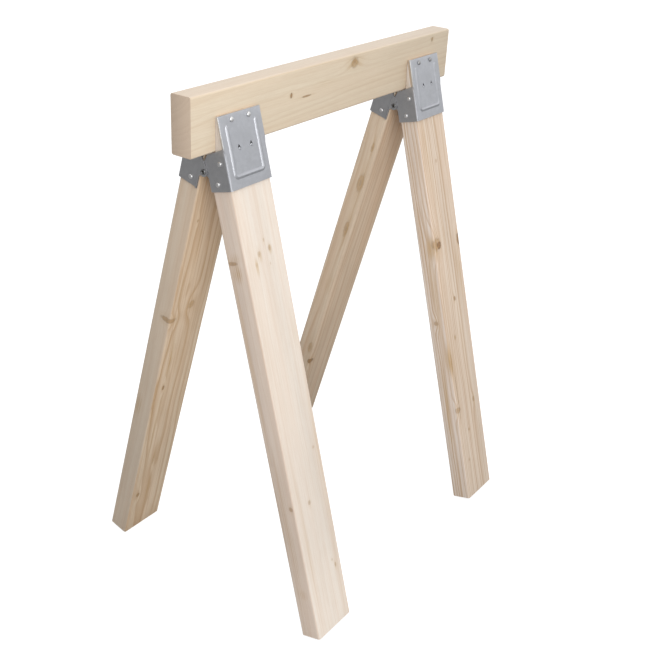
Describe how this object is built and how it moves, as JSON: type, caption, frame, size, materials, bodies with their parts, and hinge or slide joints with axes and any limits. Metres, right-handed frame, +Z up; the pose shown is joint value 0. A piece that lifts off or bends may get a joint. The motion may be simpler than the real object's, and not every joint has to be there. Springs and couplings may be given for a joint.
{
  "type": "folding sawhorse",
  "caption": "Trestle sawhorse: a timber crossbeam on edge resting in hinged sheet-steel brackets, each gripping two splayed timber legs that fold together.",
  "frame": {"origin": "on the floor, centred under the crossbeam", "axes": "+X along the crossbeam, +Y from the near legs to the far legs, +Z up"},
  "size_m": [0.7, 0.5016, 0.896],
  "materials": {
    "pine_beam": "planed, unfinished, warm pale yellow",
    "pine_leg": "planed, unfinished, pale",
    "galvanised_steel": "bright galvanised sheet, satin",
    "zinc_fastener": "bright zinc, smooth domed heads"
  },
  "bodies": {
    "hinge_rivets": {"hinge_rivet_left_outer": "zinc_fastener", "hinge_rivet_left_inner": "zinc_fastener", "hinge_rivet_right_outer": "zinc_fastener", "hinge_rivet_right_inner": "zinc_fastener"},
    "crossbeam": {"crossbeam": "pine_beam"},
    "near_left_leg": {"leg_near_left": "pine_leg", "bracket_leaf_near_left": "galvanised_steel", "plate_nail_near_left_outer": "zinc_fastener", "flange_nail_near_left_upper_outer": "zinc_fastener", "flange_nail_near_left_lower_outer": "zinc_fastener", "plate_nail_near_left_inner": "zinc_fastener", "flange_nail_near_left_upper_inner": "zinc_fastener", "flange_nail_near_left_lower_inner": "zinc_fastener"},
    "far_left_leg": {"leg_far_left": "pine_leg", "bracket_leaf_far_left": "galvanised_steel", "plate_nail_far_left_outer": "zinc_fastener", "flange_nail_far_left_upper_outer": "zinc_fastener", "flange_nail_far_left_lower_outer": "zinc_fastener", "plate_nail_far_left_inner": "zinc_fastener", "flange_nail_far_left_upper_inner": "zinc_fastener", "flange_nail_far_left_lower_inner": "zinc_fastener"},
    "near_right_leg": {"leg_near_right": "pine_leg", "bracket_leaf_near_right": "galvanised_steel", "plate_nail_near_right_outer": "zinc_fastener", "flange_nail_near_right_upper_outer": "zinc_fastener", "flange_nail_near_right_lower_outer": "zinc_fastener", "plate_nail_near_right_inner": "zinc_fastener", "flange_nail_near_right_upper_inner": "zinc_fastener", "flange_nail_near_right_lower_inner": "zinc_fastener"},
    "far_right_leg": {"leg_far_right": "pine_leg", "bracket_leaf_far_right": "galvanised_steel", "plate_nail_far_right_outer": "zinc_fastener", "flange_nail_far_right_upper_outer": "zinc_fastener", "flange_nail_far_right_lower_outer": "zinc_fastener", "plate_nail_far_right_inner": "zinc_fastener", "flange_nail_far_right_upper_inner": "zinc_fastener", "flange_nail_far_right_lower_inner": "zinc_fastener"}
  },
  "joints": [
    {"name": "beam_lift", "type": "slide", "parent": "hinge_rivets", "child": "crossbeam", "axis": [0, 0, 1], "range_m": [0, 0.1]},
    {"name": "left_fold", "type": "hinge", "parent": "hinge_rivets", "child": "near_left_leg", "pos_m": [-0.2555, 0, 0.77396], "axis": [1, 0, 0], "range_deg": [0, 15]},
    {"name": "left_far_fold", "type": "hinge", "parent": "hinge_rivets", "child": "far_left_leg", "pos_m": [-0.2555, 0, 0.77396], "axis": [-1, 0, 0], "range_deg": [0, 15]},
    {"name": "right_fold", "type": "hinge", "parent": "hinge_rivets", "child": "near_right_leg", "pos_m": [0.2555, 0, 0.77396], "axis": [1, 0, 0], "range_deg": [0, 15]},
    {"name": "right_far_fold", "type": "hinge", "parent": "hinge_rivets", "child": "far_right_leg", "pos_m": [0.2555, 0, 0.77396], "axis": [-1, 0, 0], "range_deg": [0, 15]}
  ],
  "couplings": [
    {"joint": "left_far_fold", "follows": "left_fold", "ratio": 1},
    {"joint": "right_far_fold", "follows": "right_fold", "ratio": 1}
  ]
}
